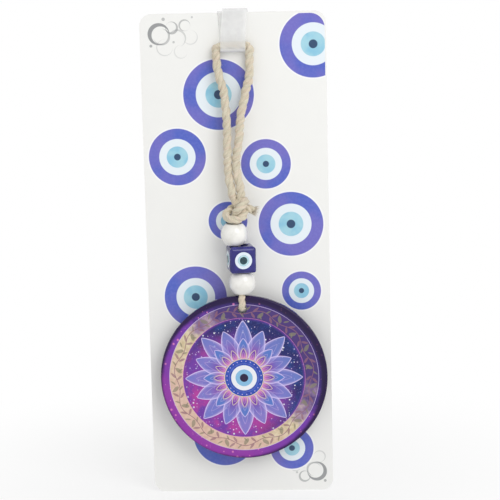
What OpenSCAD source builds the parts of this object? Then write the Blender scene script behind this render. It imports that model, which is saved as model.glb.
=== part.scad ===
// Evil eye ornament on its backing card: a printed glass disc and three beads hang on one doubled
// length of jute twine, whose loop is held to the card by a folded plastic strap.
// X runs across the card, Y into it and Z up. The origin is the middle of the card's back face.

/* [Card] */
// Width of the backing card
card_w = 76.5; // [64:0.5:110]
// Height of the backing card
card_h = 203.6; // [192:0.2:260]
// Thickness of the board
card_t = 0.6; // [0.4:0.1:1.5]
// Radius of the card's corners
card_corner_r = 4.8; // [1:0.2:12]

/* [Strap] */
// Width of the plastic strap
strap_w = 10.2; // [6:0.2:14]
// How far each layer of the strap lies to its side at the card's top edge
strap_skew = 1.1; // [0:0.1:1.5]
// Thickness of the strap's film
strap_t = 0.35; // [0.2:0.05:0.6]
// Length of strap stuck down behind the card
strap_back_len = 21; // [10:1:40]
// How far down from the card's top the strap bulges most
strap_crest_drop = 9.6; // [8:0.1:10.6]
// How far in front of the card the strap bulges
strap_crest_out = 6; // [5.6:0.1:7.5]
// Radius of the strap's outer fold over the card's top edge
strap_fold_r = 1; // [0.8:0.1:1.6]
// Gap between the two layers of strap where they lie on each other
strap_layer_gap = 0.08; // [0.05:0.01:0.2]

/* [Twine] */
// Diameter of the twine in the hanging loop
twine_d = 3.4; // [2.6:0.1:3.6]
// Diameter of each strand inside the beads
strand_d = 2.2; // [1.8:0.1:2.3]
// Sideways place of the strands at the knot from the pendant's axis
strand_lean = -2.1; // [-2.4:0.1:0]
// Thickness of a strand pressed flat against the disc
strand_pressed_t = 1.6; // [1.2:0.1:1.6]
// Depth of the strap's bottom turn below the card's top
loop_drop = 13.6; // [13:0.1:16]
// Clearance of the twine in the strap's turn
loop_play = 0.3; // [0.2:0.05:0.6]
// Clearance between the strap's edges and the strands beside them
strand_side_play = 0.2; // [0.2:0.1:1.5]

/* [Knot] */
// Depth of the knot's middle below the card's top
knot_drop = 80.9; // [76:0.1:86]
// Radius of the ball that the whole knot fits in
knot_reach = 7.1; // [7:0.1:7.6]
// Depth of the knot's flat underside below its middle
knot_seat = 5; // [4.6:0.1:5.4]
// Diameter of the twine as it is drawn tight in the knot
knot_twine_d = 3.1; // [2.6:0.1:3.1]
// Sideways place of the knot from the pendant's axis
knot_dx = -1.3; // [-1.6:0.1:0]
// Diameter of the knot's core, which its strands bury
knot_core_d = 5; // [4:0.1:5.6]
// Length of the cut end beyond the knot's core
tail_len = 4.2; // [2.5:0.1:4.2]

/* [Beads] */
// Diameter of the two round beads
bead_d = 11.2; // [10.6:0.1:12]
// Height of the round beads between their drilled ends
bead_h = 8.8; // [8:0.1:9]
// Bore through all three beads
bead_bore_d = 6.2; // [6:0.1:6.4]
// Width and depth of the cube bead
cube_w = 11; // [10:0.1:12]
// Height of the cube bead
cube_h = 11.2; // [10:0.1:13]
// Radius of the cube bead's edges
cube_edge_r = 1.8; // [0.8:0.1:1.9]
// How far the cube bead is turned on the twine from facing straight out
cube_turn = 12; // [0:1:45]
// Gap between neighbours in the stack
bead_gap = 0.3; // [0.2:0.05:0.5]
// Sideways place of the upper bead from the pendant's axis
upper_bead_dx = -2.7; // [-2.8:0.1:0]
// Sideways place of the lower bead from the pendant's axis
lower_bead_dx = 0.2; // [-0.4:0.1:0.4]

/* [Eyes of the cube bead] */
// Diameter of the white dot
eye_white_d = 7.1; // [6:0.1:7.2]
// Diameter of the light blue dot
eye_blue_d = 4.6; // [3.8:0.1:5.2]
// Diameter of the dark pupil
eye_pupil_d = 3.1; // [2:0.1:3.4]
// Thickness of each layer of the eye
eye_layer_t = 0.35; // [0.25:0.05:0.45]
// How far each layer stands proud of the one round it
eye_proud = 0.1; // [0.05:0.05:0.2]
// Gap round each dot in its pocket
eye_fit = 0.04; // [0.02:0.01:0.08]

/* [Disc] */
// Diameter of the printed disc
disc_d = 70; // [50:1:72]
// Thickness of the glass blank
disc_blank_t = 2.2; // [1.8:0.1:2.3]
// Thickness of the printed picture layer
disc_picture_t = 0.15; // [0.1:0.05:0.2]
// Thickness of the clear gloss coat
disc_gloss_t = 0.85; // [0.6:0.05:0.95]
// Radius of the blank's back edge
disc_back_edge_r = 1; // [0.8:0.1:1.2]
// Radius of the gloss coat's front edge
disc_front_edge_r = 0.8; // [0.5:0.05:0.8]
// Diameter of the hole for the twine
disc_hole_d = 4; // [3.8:0.1:4.4]
// Depth of the hole's middle below the disc's top
disc_hole_inset = 5.5; // [5:0.1:8]
// Gap between the lower bead and the disc's top edge
disc_gap = 0.9; // [0.8:0.05:1.2]
// Gap between the pressed strand and the disc's faces
disc_strand_gap = 0.25; // [0.2:0.05:0.3]

/* [Placing] */
// Sideways place of the pendant's axis from the card's middle
pendant_dx = 1.6; // [-3:0.1:3]
// Distance from the card's front to the pendant's axis
pendant_standoff = 7.5; // [7.4:0.1:12]

/* [Hidden] */

$fn = 64;
tube_sides = 8;
bend_steps = 4;
strap_bend_steps = 10;
strap_crest_steps = 8;

card_top = card_h / 2;
card_front = -card_t;

// The strap's turn holds the twine against the card, so it sets where the loop's top lies.
strap_mid = strap_t / 2;
twine_r = twine_d / 2;
turn_r = twine_r + loop_play + strap_mid;
run_y = card_front - strap_mid - turn_r;
run_z = card_top - loop_drop;
loop_half_w = strap_w / 2 + strand_side_play + twine_r;

axis_x = pendant_dx;
axis_y = card_front - pendant_standoff;
knot_x = axis_x + knot_dx;
knot_z = card_top - knot_drop;
knot_seat_z = knot_z - knot_seat;

// Heights of the stack, from the knot's underside down to the disc.
upper_bead_z = knot_seat_z - bead_gap - bead_h / 2;
cube_z = upper_bead_z - bead_h / 2 - bead_gap - cube_h / 2;
lower_bead_z = cube_z - cube_h / 2 - bead_gap - bead_h / 2;
disc_top_z = lower_bead_z - bead_h / 2 - disc_gap;
disc_z = disc_top_z - disc_d / 2;
hole_z = disc_top_z - disc_hole_inset;
disc_t = disc_blank_t + disc_picture_t + disc_gloss_t;
disc_back_y = axis_y + disc_t / 2;

// Depth of the white dot's floor under the cube bead's face. The blue dot and the pupil stack on it.
eye_floor = 3 * eye_layer_t - 3 * eye_proud;

// The loop hangs in one plane, which leans out from the strap's turn to the knot.
loop_len = norm([axis_y - run_y, knot_z - run_z]) - knot_reach - loop_play;
loop_lean = atan2(run_y - axis_y, run_z - knot_z);
loop_bend_r = 1.9;
loop_end_spread = 1.75;

// The loop's route: share of the way down, then how far the left and the right strand have gone
// from beside the strap to their places over the knot. The right one sags past its place.
loop_route = [
    [0.04, 0.02, 0.03], [0.10, 0.05, 0.06], [0.16, 0.14, 0.08], [0.23, 0.29, 0.16],
    [0.30, 0.52, 0.40], [0.37, 0.61, 0.57], [0.43, 0.67, 0.79], [0.50, 0.70, 0.91],
    [0.57, 0.72, 0.98], [0.64, 0.72, 1.06], [0.71, 0.71, 1.23], [0.77, 0.71, 1.31],
    [0.84, 0.73, 1.30], [0.91, 0.81, 1.19], [0.95, 0.91, 1.07], [1.00, 1.00, 1.00]
];

// The knot's tied strand, from under the knot up to the loop, in steps of about a millimetre from the
// knot's middle: it rises through the middle, turns right and back over the top, comes round the
// left and under the front, and goes up through its own turn.
knot_route = [
    [-0.9, 1.3, -5.6], [-0.9, 1.1, -4.5], [-0.8, 0.6, -3.6], [-0.7, 0.1, -2.6], [-0.6, -0.4, -1.7],
    [-0.6, -1.1, -0.8], [-0.3, -1.9, -0.1], [0.3, -2.5, 0.6], [1.1, -2.8, 1.4], [1.9, -2.7, 2.2],
    [2.7, -2.1, 2.9], [3.2, -1.3, 3.4], [3.5, -0.3, 3.8], [3.5, 0.8, 4.0], [3.3, 1.9, 3.8],
    [2.7, 2.9, 3.5], [1.9, 3.6, 3.0], [0.8, 4.0, 2.4], [-0.2, 4.0, 1.8], [-1.1, 3.6, 1.2],
    [-1.9, 2.9, 0.7], [-2.8, 2.1, 0.2], [-3.5, 1.3, -0.4], [-4.2, 0.5, -0.9], [-4.5, -0.4, -1.5],
    [-4.3, -1.3, -2.1], [-3.7, -2.1, -2.6], [-2.8, -2.8, -3.0], [-1.7, -3.3, -3.2], [-0.5, -3.5, -3.3],
    [0.8, -3.3, -3.1], [1.9, -2.9, -2.7], [2.7, -2.3, -2.0], [3.1, -1.5, -1.3], [3.1, -0.7, -0.5],
    [2.7, 0.0, 0.3], [1.9, 0.5, 1.0], [1.0, 0.7, 1.8], [0.2, 0.6, 2.7], [-0.6, 0.6, 3.7],
    [-1.3, 0.6, 4.8], [-1.7, 0.5, 5.8], [-1.8, 0.5, 7.6]
];
knot_other_route = [
    [1.8, 0.5, 7.6], [1.7, 0.5, 5.8], [1.1, 0.4, 4.3], [0.5, 0.2, 2.7], [0.1, 0.0, 0.8],
    [-0.4, -0.6, -2.4], [-0.7, -1.2, -4.2], [-0.8, -1.3, -5.6]
];

// The stem's route below the beads, from the disc's top edge: distance out from the pendant's axis,
// height, half width across the strand and half thickness. The last point is inside the hole.
stem_route = [
    [1.4, 4.4, 1.3, 1.3], [1.5, 2.4, 1.2, 0.95], [2.05, 0.9, 1.25, 0.8], [2.55, -0.4, 1.5, 0.8]
];

// ---- Helpers ----

function mix(a, b, share) = a + (b - a) * share;

function unit(v) = v / norm(v);

function backward(list) = [for (i = [len(list) - 1 : -1 : 0]) list[i]];

function arc(centre, r, from, to, steps) =
    [for (i = [0 : steps]) let (a = mix(from, to, i / steps)) centre + r * [cos(a), sin(a)]];

function bezier(a, b, c, steps) =
    [for (i = [0 : steps]) let (t = i / steps)
        (1 - t) * (1 - t) * a + 2 * t * (1 - t) * b + t * t * c];

// Direction of a path at point i, as the mean of the steps before and after it.
function heading(path, i) =
    let (
        last = len(path) - 1,
        before = i > 0 ? unit(path[i] - path[i - 1]) : unit(path[1] - path[0]),
        after = i < last ? unit(path[i + 1] - path[i]) : unit(path[last] - path[last - 1])
    )
    unit(before + after);

// Points beside a flat path, at the same distance from both of its legs at each corner.
function beside(path, distance) =
    [for (i = [0 : len(path) - 1])
        let (
            dir = heading(path, i),
            leg = unit(i > 0 ? path[i] - path[i - 1] : path[1] - path[0]),
            across = [-dir[1], dir[0]]
        )
        path[i] + across * distance / max(0.5, dir * leg)];

// A closed solid round a row of rings, each of the same number of points.
module skin(points, sides, rings) {
    walls = [for (i = [0 : rings - 2]) for (k = [0 : sides - 1])
        let (
            here = i * sides + k,
            next = i * sides + (k + 1) % sides
        )
        [here, here + sides, next + sides, next]];
    start = [for (k = [0 : sides - 1]) k];
    end = [for (k = [sides - 1 : -1 : 0]) (rings - 1) * sides + k];
    polyhedron(points, concat(walls, [start, end]));
}

// The direction across a path at each of its points, from `across` at its start, turned no more
// than the path makes it.
function carried(path, across, i = 0) =
    i == len(path) ? [] :
    let (
        dir = heading(path, i),
        here = unit(across - (across * dir) * dir)
    )
    concat([here], carried(path, here, i + 1));

// A tube along a path. Each ring has its own half width along `across` and half thickness beside it.
module tube(path, across, half_sizes) {
    sides = carried(path, across);
    points = [for (i = [0 : len(path) - 1])
        let (side = cross(heading(path, i), sides[i]))
        for (k = [0 : tube_sides - 1])
            let (a = 360 * (k + 0.5) / tube_sides)
            path[i] + half_sizes[i][0] * cos(a) * sides[i] + half_sizes[i][1] * sin(a) * side];
    skin(points, tube_sides, len(path));
}

// A rectangle with its four corners rounded.
module rounded_plate(w, h, r) {
    square([w - 2 * r, h], center = true);
    square([w, h - 2 * r], center = true);
    for (sx = [-1, 1], sy = [-1, 1])
        translate([sx * (w / 2 - r), sy * (h / 2 - r)]) circle(r);
}

// Half of a round plate's section, from its axis out, with the far corner rounded.
module plate_section(r, t, edge_r) {
    intersection() {
        square([r, t]);
        union() {
            square([r - edge_r, t]);
            square([r, t - edge_r]);
            translate([r - edge_r, t - edge_r]) circle(edge_r);
        }
    }
}

// Lays what is drawn along Z on its side, so that it points out of the card's front.
module face_front(at) {
    translate(at) rotate([90, 0, 0]) children();
}

// ---- Card and strap ----

module backing_card() {
    color("whitesmoke")
        face_front([0, 0, 0]) linear_extrude(card_t) rounded_plate(card_w, card_h, card_corner_r);
}

// Distance gone along a flat path at each of its points.
function gone(path, i = 0, so_far = 0) =
    i == len(path) ? [] :
    let (here = so_far + (i > 0 ? norm(path[i] - path[i - 1]) : 0))
    concat([here], gone(path, i + 1, here));

// One strip of film: up the card's back, over its top edge, down its front, round the twine,
// up again in a bulge and over the top edge to end on its own first layer. It runs askew, so that
// its two layers lie to either side.
module hang_strap() {
    tail_y = strap_t + strap_layer_gap + strap_mid;
    fold_y = tail_y - strap_fold_r + strap_layer_gap;
    fold_z = card_top + strap_fold_r / 2;
    crest = [card_front - strap_crest_out, card_top - strap_crest_drop];
    fold_start = 154;
    fold_front = [fold_y, fold_z] + strap_fold_r * [cos(fold_start), sin(fold_start)];
    turn_front = [run_y - turn_r, run_z];
    inner = concat(
        [[strap_mid, card_top - strap_back_len]],
        arc([-card_t / 2, card_top], card_t / 2 + strap_mid, 0, 180, strap_bend_steps),
        arc([run_y, run_z], turn_r, 0, -180, strap_bend_steps)
    );
    outer = concat(
        bezier(mix(turn_front, crest, 0.4), crest, mix(crest, fold_front, 0.3), strap_crest_steps),
        arc([fold_y, fold_z], strap_fold_r, fold_start, 0, strap_bend_steps),
        [[tail_y, card_top - strap_fold_r], [tail_y, card_top - strap_back_len]]
    );
    path = concat(inner, outer);
    far = gone(path);
    turn_at = far[len(inner) - 1 - strap_bend_steps / 2];
    over_at = far[len(path) - 4 - strap_bend_steps / 2];
    dx = [for (g = far) strap_skew * (g - turn_at) / (over_at - turn_at)];
    front = beside(path, strap_t / 2);
    rear = beside(path, -strap_t / 2);
    last = len(path) - 1;
    corners = [for (i = [0 : last]) for (p = [
        [dx[i] - strap_w / 2, front[i]], [dx[i] + strap_w / 2, front[i]],
        [dx[i] + strap_w / 2, rear[i]], [dx[i] - strap_w / 2, rear[i]]
    ]) [p[0], p[1][0], p[1][1]]];
    color("gainsboro") skin(corners, 4, last + 1);
}

// ---- Twine ----

// One side of the loop in its own plane, from the strap's turn down to the knot.
function loop_side(side) =
    let (
        top_x = side * loop_half_w,
        knot_end_x = knot_x + side * loop_end_spread,
        column = side < 0 ? 1 : 2
    )
    concat(
        [for (i = [0 : bend_steps])
            let (a = 90 - 90 * i / bend_steps)
            [top_x + side * loop_bend_r * (cos(a) - 1), 0, loop_bend_r * (sin(a) - 1)]],
        [for (p = loop_route) [mix(top_x, knot_end_x, p[column]), 0, -p[0] * loop_len]]
    );

module twine_loop() {
    path = concat(backward(loop_side(-1)), loop_side(1));
    size = [for (p = path) [twine_r, twine_r]];
    color("tan")
        translate([0, run_y, run_z]) rotate([-loop_lean, 0, 0]) tube(path, [0, 1, 0], size);
}

// The knot: one strand tied in an overhand knot round the other one, whose cut end sticks out on the
// right. It has a flat underside, where the upper bead presses on it, and all of it fits in one ball,
// which turns clear of the loop's strands.
module loop_knot() {
    half = knot_twine_d / 2;
    color("burlywood")
        translate([knot_x, axis_y, knot_z]) difference() {
            intersection() {
                union() {
                    tube(knot_route, [1, 0, 0], [for (p = knot_route) [half, half]]);
                    tube(knot_other_route, [1, 0, 0], [for (p = knot_other_route) [half, half]]);
                    sphere(d = knot_core_d);
                    translate([0, 0.3, 1.4]) rotate([0, 104, 5])
                        cylinder(d = knot_twine_d, h = knot_core_d / 2 + tail_len);
                }
                sphere(knot_reach);
            }
            translate([-2 * knot_reach, -2 * knot_reach, -knot_seat - 2 * knot_reach])
                cube([4 * knot_reach, 4 * knot_reach, 2 * knot_reach]);
        }
}

// One strand of the stem on the front side (-1) or the back side (1) of the disc: for each ring its
// place, its half width and its half thickness. Between the upper bead and the cube it lies half way
// between the middles of their bores.
function stem_side(side) =
    let (
        pressed = disc_t / 2 + disc_strand_gap + strand_pressed_t / 2,
        half_t = strand_pressed_t / 2,
        top = knot_seat_z - bead_gap,
        step_z = cube_z + (cube_h + bead_gap) / 2,
        bend = 1.1
    )
    [
        for (p = [[strand_lean, top], [upper_bead_dx / 2, step_z], [0, cube_z], [0, lower_bead_z]])
            [p[0], side * (strand_d / 2 + 0.1), p[1], strand_d / 2, strand_d / 2],
        for (p = stem_route)
            [0, side * p[0], disc_top_z + p[1], min(p[2], strand_d / 2 + 0.2), min(p[3], strand_d / 2)],
        [0, side * pressed, disc_top_z - 1.6, 1.6, half_t],
        for (i = [0 : bend_steps])
            let (a = 90 * i / bend_steps)
            [0, side * (pressed - bend * (1 - cos(a))), hole_z + bend * (1 - sin(a)), 1.6 - 0.05 * i,
                half_t + 0.05 * i]
    ];

// The doubled strand through the beads and its bight through the disc's hole, in one tube.
module twine_stem() {
    route = concat(stem_side(-1), [[0, 0, hole_z, 1.35, 1.2]], backward(stem_side(1)));
    path = [for (p = route) [p[0], p[1], p[2]]];
    size = [for (p = route) [p[3], p[4]]];
    color("tan") translate([axis_x, axis_y, 0]) tube(path, [1, 0, 0], size);
}

// ---- Beads ----

module bead_bore(h) {
    cylinder(d = bead_bore_d, h = h + 2, center = true);
}

module round_bead(at) {
    color("ivory") translate(at) difference() {
        rotate_extrude() intersection() {
            circle(d = bead_d);
            translate([0, -bead_h / 2]) square([bead_d, bead_h]);
        }
        bead_bore(bead_h);
    }
}

module upper_bead() {
    round_bead([axis_x + upper_bead_dx, axis_y, upper_bead_z]);
}

module lower_bead() {
    round_bead([axis_x + lower_bead_dx, axis_y, lower_bead_z]);
}

module at_cube() {
    translate([axis_x, axis_y, cube_z]) rotate([0, 0, cube_turn]) children();
}

// Draws its children as on the front face of the cube bead, moved round to one of its four sides.
module on_cube_side(turn) {
    at_cube() rotate([0, 0, turn]) translate([0, -cube_w / 2, 0]) rotate([90, 0, 0]) children();
}

module cube_bead() {
    color("midnightblue") difference() {
        at_cube() intersection() {
            linear_extrude(cube_h, center = true) rounded_plate(cube_w, cube_w, cube_edge_r);
            rotate([90, 0, 0])
                linear_extrude(cube_w, center = true) rounded_plate(cube_w, cube_h, cube_edge_r);
            rotate([90, 0, 90])
                linear_extrude(cube_w, center = true) rounded_plate(cube_w, cube_h, cube_edge_r);
        }
        at_cube() bead_bore(cube_h);
        for (turn = [0 : 90 : 270])
            on_cube_side(turn)
                translate([0, 0, -eye_floor]) cylinder(d = eye_white_d + 2 * eye_fit, h = cube_w);
    }
}

// One dot of an eye: `level` counts layers up from the white one's floor, and `hole_d` is the pocket
// for the dot that sits in it.
module eye_dot(turn, d, level, hole_d) {
    top = (level + 1) * eye_proud;
    bottom = -eye_floor + level * eye_layer_t;
    on_cube_side(turn) difference() {
        translate([0, 0, bottom]) cylinder(d = d, h = top - bottom);
        translate([0, 0, bottom + eye_layer_t]) cylinder(d = hole_d + 2 * eye_fit, h = top - bottom);
    }
}

module eye_white(turn) {
    color("white") eye_dot(turn, eye_white_d, 0, eye_blue_d);
}

module eye_blue(turn) {
    color("lightblue") eye_dot(turn, eye_blue_d, 1, eye_pupil_d);
}

module eye_pupil(turn) {
    color("darkslategray") on_cube_side(turn)
        translate([0, 0, -eye_floor + 2 * eye_layer_t])
            cylinder(d = eye_pupil_d, h = eye_floor - 2 * eye_layer_t + 3 * eye_proud);
}

// ---- Disc ----

module disc_hole() {
    face_front([axis_x, disc_back_y + 1, hole_z]) cylinder(d = disc_hole_d, h = disc_t + 2);
}

module disc_blank() {
    color("indigo") difference() {
        translate([axis_x, disc_back_y - disc_blank_t, disc_z]) rotate([-90, 0, 0])
            rotate_extrude() plate_section(disc_d / 2, disc_blank_t, disc_back_edge_r);
        disc_hole();
    }
}

module disc_picture() {
    color("slateblue") difference() {
        face_front([axis_x, disc_back_y - disc_blank_t, disc_z])
            cylinder(d = disc_d, h = disc_picture_t);
        disc_hole();
    }
}

module disc_gloss() {
    color("lavender") difference() {
        face_front([axis_x, disc_back_y - disc_blank_t - disc_picture_t, disc_z])
            rotate_extrude() plate_section(disc_d / 2, disc_gloss_t, disc_front_edge_r);
        disc_hole();
    }
}

backing_card();
hang_strap();
twine_loop();
loop_knot();
twine_stem();
upper_bead();
cube_bead();
lower_bead();
eye_white(0);  // eye_white_front
eye_white(90);  // eye_white_right
eye_white(180);  // eye_white_back
eye_white(270);  // eye_white_left
eye_blue(0);  // eye_blue_front
eye_blue(90);  // eye_blue_right
eye_blue(180);  // eye_blue_back
eye_blue(270);  // eye_blue_left
eye_pupil(0);  // eye_pupil_front
eye_pupil(90);  // eye_pupil_right
eye_pupil(180);  // eye_pupil_back
eye_pupil(270);  // eye_pupil_left
disc_blank();
disc_picture();
disc_gloss();
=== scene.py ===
# Evil eye ornament on its backing card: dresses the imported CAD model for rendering.
import math
import bpy
import numpy as np
from mathutils import Matrix, Vector
from mathutils.bvhtree import BVHTree


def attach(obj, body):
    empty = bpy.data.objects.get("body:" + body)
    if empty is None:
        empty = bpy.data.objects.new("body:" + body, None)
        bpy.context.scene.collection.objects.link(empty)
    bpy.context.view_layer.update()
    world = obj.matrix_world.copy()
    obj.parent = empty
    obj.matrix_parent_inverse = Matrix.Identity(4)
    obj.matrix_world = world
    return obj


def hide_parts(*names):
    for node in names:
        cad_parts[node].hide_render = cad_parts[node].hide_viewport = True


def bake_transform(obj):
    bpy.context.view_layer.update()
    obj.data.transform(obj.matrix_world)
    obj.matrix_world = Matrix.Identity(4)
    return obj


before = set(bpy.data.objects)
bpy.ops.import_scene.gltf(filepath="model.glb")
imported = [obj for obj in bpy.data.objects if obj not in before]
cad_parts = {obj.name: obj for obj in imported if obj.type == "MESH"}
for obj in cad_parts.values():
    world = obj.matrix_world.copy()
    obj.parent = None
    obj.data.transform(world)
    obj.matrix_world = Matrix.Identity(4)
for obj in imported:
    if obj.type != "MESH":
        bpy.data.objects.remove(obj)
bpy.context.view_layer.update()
print("Frame loaded:", len(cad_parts), "CAD nodes")

# Camera and image points
cameraSetup = {
    "lens": 122.4,        # mm, on a 36 mm sensor
    "sensor": 36.0,
    "distance": 0.7125,   # m, from the point it aims at
    "reach": (0.6, 0.85), # m along a ray: the object lies between
    "azimuth": 2.15,      # degrees to the right of straight on
    "elevation": 10.05,
    "roll": -1.372,
    "aim": (0.004997, 0.0, 0.00293),
}

imageSize = (500, 500)
imagePoints = {           # pixels in the photograph's frame, None where only one of the two is meant
    "objectLeft": (139.2, None),
    "objectRight": (333.5, None),
    "objectTop": (None, 8.0),
    "objectBottom": (None, 492.0),
    "eyeTopRight": (313.1, 43.8),
    "eyeBehindLoop": (218.5, 94.6),
    "eyeLeft": (177.4, 157.1),
    "eyeMiddleRight": (265.9, 163.9),
    "eyeBesideKnot": (291.0, 223.9),
    "eyeBehindKnot": (228.0, 221.0),
    "eyeLeftOfBeads": (195.8, 297.0),
    "eyeRightOfBeads": (301.5, 290.6),
    "eyeBehindDisc": (225.0, 435.0),
    "eyeBottomRight": (292.0, 448.0),
    "curlsTopLeft": (167.0, 34.0),
    "curlsBottomRight": (311.0, 468.0),
    "knot": (241.4, 210.1),
    "cubeEye": (243.4, 260.9),
    "discHole": (242.5, 308.0),
    "disc": (244.3, 376.5),
}


def makeCamera(setup):
    az, el = math.radians(setup["azimuth"]), math.radians(setup["elevation"])
    back = Vector((math.sin(az) * math.cos(el), -math.cos(az) * math.cos(el), math.sin(el)))
    right = Vector((0, 0, 1)).cross(back).normalized()
    up = back.cross(right)
    roll = math.radians(setup["roll"])
    rolledRight = right * math.cos(roll) + up * math.sin(roll)
    rolledUp = up * math.cos(roll) - right * math.sin(roll)
    place = Matrix((rolledRight, rolledUp, back)).transposed().to_4x4()
    place.translation = Vector(setup["aim"]) + back * setup["distance"]
    data = bpy.data.cameras.new("photoCamera")
    data.lens = setup["lens"]
    data.sensor_width = setup["sensor"]
    data.sensor_fit = "AUTO"
    data.clip_start = 0.01
    data.clip_end = 100
    camera = bpy.data.objects.new("photoCamera", data)
    camera.matrix_world = place
    bpy.context.scene.collection.objects.link(camera)
    bpy.context.scene.camera = camera
    return camera


camera = makeCamera(cameraSetup)
cameraPlace = camera.matrix_world.copy()
print("Camera placed")


def seenTree(*names):  # what carries a surface addition, as finished and placed
    verts, faces = [], []
    for name in names:
        mesh = bpy.data.objects[name].data
        start = len(verts)
        verts += [v.co.copy() for v in mesh.vertices]
        faces += [[start + i for i in p.vertices] for p in mesh.polygons]
    return BVHTree.FromPolygons(verts, faces)


def placeAtPixel(tree, x, y):  # the point of the surface that shows at a pixel, or the nearest to its ray
    data = camera.data
    w, h = imageSize
    side = max(w, h)
    ray = Vector((x - w / 2 + data.shift_x * side, h / 2 - y + data.shift_y * side,
                  -side * data.lens / data.sensor_width))
    ray = (cameraPlace.to_3x3() @ ray).normalized()
    start = cameraPlace.translation
    hit = tree.ray_cast(start, ray)[0]
    if hit is None:
        steps = [start + ray * d for d in np.linspace(*cameraSetup["reach"], 60)]
        hit = min((tree.find_nearest(p) for p in steps), key=lambda found: found[3])[0]
    return hit


def pixelsOf(points):  # pixel of each point in space: the ray above turned round, for a whole array
    place = np.array(cameraPlace.inverted())
    local = np.asarray(points) @ place[:3, :3].T + place[:3, 3]
    side = max(imageSize)
    focal = side * camera.data.lens / camera.data.sensor_width
    x = imageSize[0] / 2 - camera.data.shift_x * side - focal * local[:, 0] / local[:, 2]
    y = imageSize[1] / 2 + camera.data.shift_y * side + focal * local[:, 1] / local[:, 2]
    return np.stack([x, y], 1)


# Meshes
def unitRows(v):
    return v / np.maximum(np.linalg.norm(v, axis=-1, keepdims=True), 1e-12)


def smoothRoute(points, step):
    # Catmull-Rom curve through the points, cut into even steps of its length.
    p = np.asarray(points, float)
    ends = np.vstack([2 * p[0] - p[1], p, 2 * p[-1] - p[-2]])
    t = np.linspace(0, 1, 24, endpoint=False)[None, :, None]
    a, b, c, d = (ends[i:len(p) - 1 + i, None, :] for i in range(4))
    fine = 0.5 * (2 * b + (c - a) * t + (2 * a - 5 * b + 4 * c - d) * t ** 2
                  + (3 * b - a - 3 * c + d) * t ** 3)
    fine = np.vstack([fine.reshape(-1, p.shape[1]), p[-1:]])
    gone = np.r_[0, np.cumsum(np.linalg.norm(np.diff(fine[:, :3], axis=0), axis=1))]
    even = np.linspace(0, gone[-1], max(3, int(round(gone[-1] / step)) + 1))
    return np.stack([np.interp(even, gone, fine[:, k]) for k in range(p.shape[1])], 1)


def makeObject(name, verts, faces, material, body, fibres=None, smooth=True):
    mesh = bpy.data.meshes.new(name)
    mesh.from_pydata(np.asarray(verts).tolist(), [], [list(map(int, f)) for f in faces])
    if fibres is not None:
        layer = mesh.attributes.new("fibres", "FLOAT_VECTOR", "POINT")
        layer.data.foreach_set("vector", np.asarray(fibres, np.float32).ravel())
    mesh.polygons.foreach_set("use_smooth", [smooth] * len(mesh.polygons))
    mesh.materials.append(material)
    mesh.update()
    piece = bpy.data.objects.new(name, mesh)
    bpy.context.scene.collection.objects.link(piece)
    if body:
        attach(piece, body)
    return piece


# Shaders
def feed(tree, target, value):  # a socket gets a link or its own number, and a plain colour is opaque
    if isinstance(value, bpy.types.NodeSocket):
        tree.links.new(value, target)
    else:
        target.default_value = (*value, 1) if target.type == "RGBA" else value


def feedAll(tree, sockets, **values):  # several sockets by name, with _ for a space
    for name, value in values.items():
        feed(tree, sockets[name.replace("_", " ")], value)


def newMaterial(name, **values):
    material = bpy.data.materials.new(name)
    material.use_nodes = True
    tree = material.node_tree
    shader = tree.nodes["Principled BSDF"]
    feedAll(tree, shader.inputs, **values)
    return material, tree, shader


def node(tree, kind, inputs=(), output=0, **settings):
    made = tree.nodes.new("ShaderNode" + kind)
    for key, value in settings.items():
        setattr(made, key, value)
    for socket, value in dict(inputs).items():
        feed(tree, made.inputs[socket], value)
    return made.outputs[output]


def maths(tree, operation, *values):
    return node(tree, "Math", dict(enumerate(values)), operation=operation)


def times(tree, a, b):
    return maths(tree, "MULTIPLY", a, b)


def minus(tree, a, b):
    return maths(tree, "SUBTRACT", a, b)


def vectors(tree, operation, *values):
    output = "Value" if operation in ("LENGTH", "DISTANCE", "DOT_PRODUCT") else "Vector"
    return node(tree, "VectorMath", dict(enumerate(values)), output, operation=operation)


def apart(tree, place):  # a vector's x, y and z
    return node(tree, "SeparateXYZ", {0: place}).node.outputs


def ease(tree, value, low, high, fromValue=0.0, toValue=1.0):  # smooth step from low to high
    return node(tree, "MapRange", {"Value": value, "From Min": low, "From Max": high, "To Min": fromValue,
                                   "To Max": toValue}, "Result", interpolation_type="SMOOTHSTEP")


def mixColour(tree, share, a, b, blend="MIX"):
    made = tree.nodes.new("ShaderNodeMix")
    made.data_type = "RGBA"
    made.blend_type = blend
    feed(tree, made.inputs["Factor"], share)
    feed(tree, made.inputs[6], a)
    feed(tree, made.inputs[7], b)
    return made.outputs[2]


def noise(tree, place, scale, detail=2.0, rough=0.5):
    return node(tree, "TexNoise", {"Vector": place, "Scale": scale, "Detail": detail, "Roughness": rough})


def bump(tree, height, strength, distance):
    return node(tree, "Bump", {"Height": height, "Strength": strength, "Distance": distance}, "Normal")


def newGroup(name, inputs, outputs):
    tree = bpy.data.node_groups.new(name, "ShaderNodeTree")
    for label, kind in inputs:
        tree.interface.new_socket(label, in_out="INPUT", socket_type="NodeSocket" + kind)
    for label, kind in outputs:
        tree.interface.new_socket(label, in_out="OUTPUT", socket_type="NodeSocket" + kind)
    return tree, tree.nodes.new("NodeGroupInput").outputs, tree.nodes.new("NodeGroupOutput").inputs


def useGroup(tree, group, inputs):
    made = tree.nodes.new("ShaderNodeGroup")
    made.node_tree = group
    for socket, value in inputs.items():
        feed(tree, made.inputs[socket], value)
    return made.outputs


def objectPlace(tree, centre=(0, 0, 0)):  # object coordinates, counted from a centre
    place = node(tree, "TexCoord", (), "Object")
    return vectors(tree, "SUBTRACT", place, centre) if any(centre) else place


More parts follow.
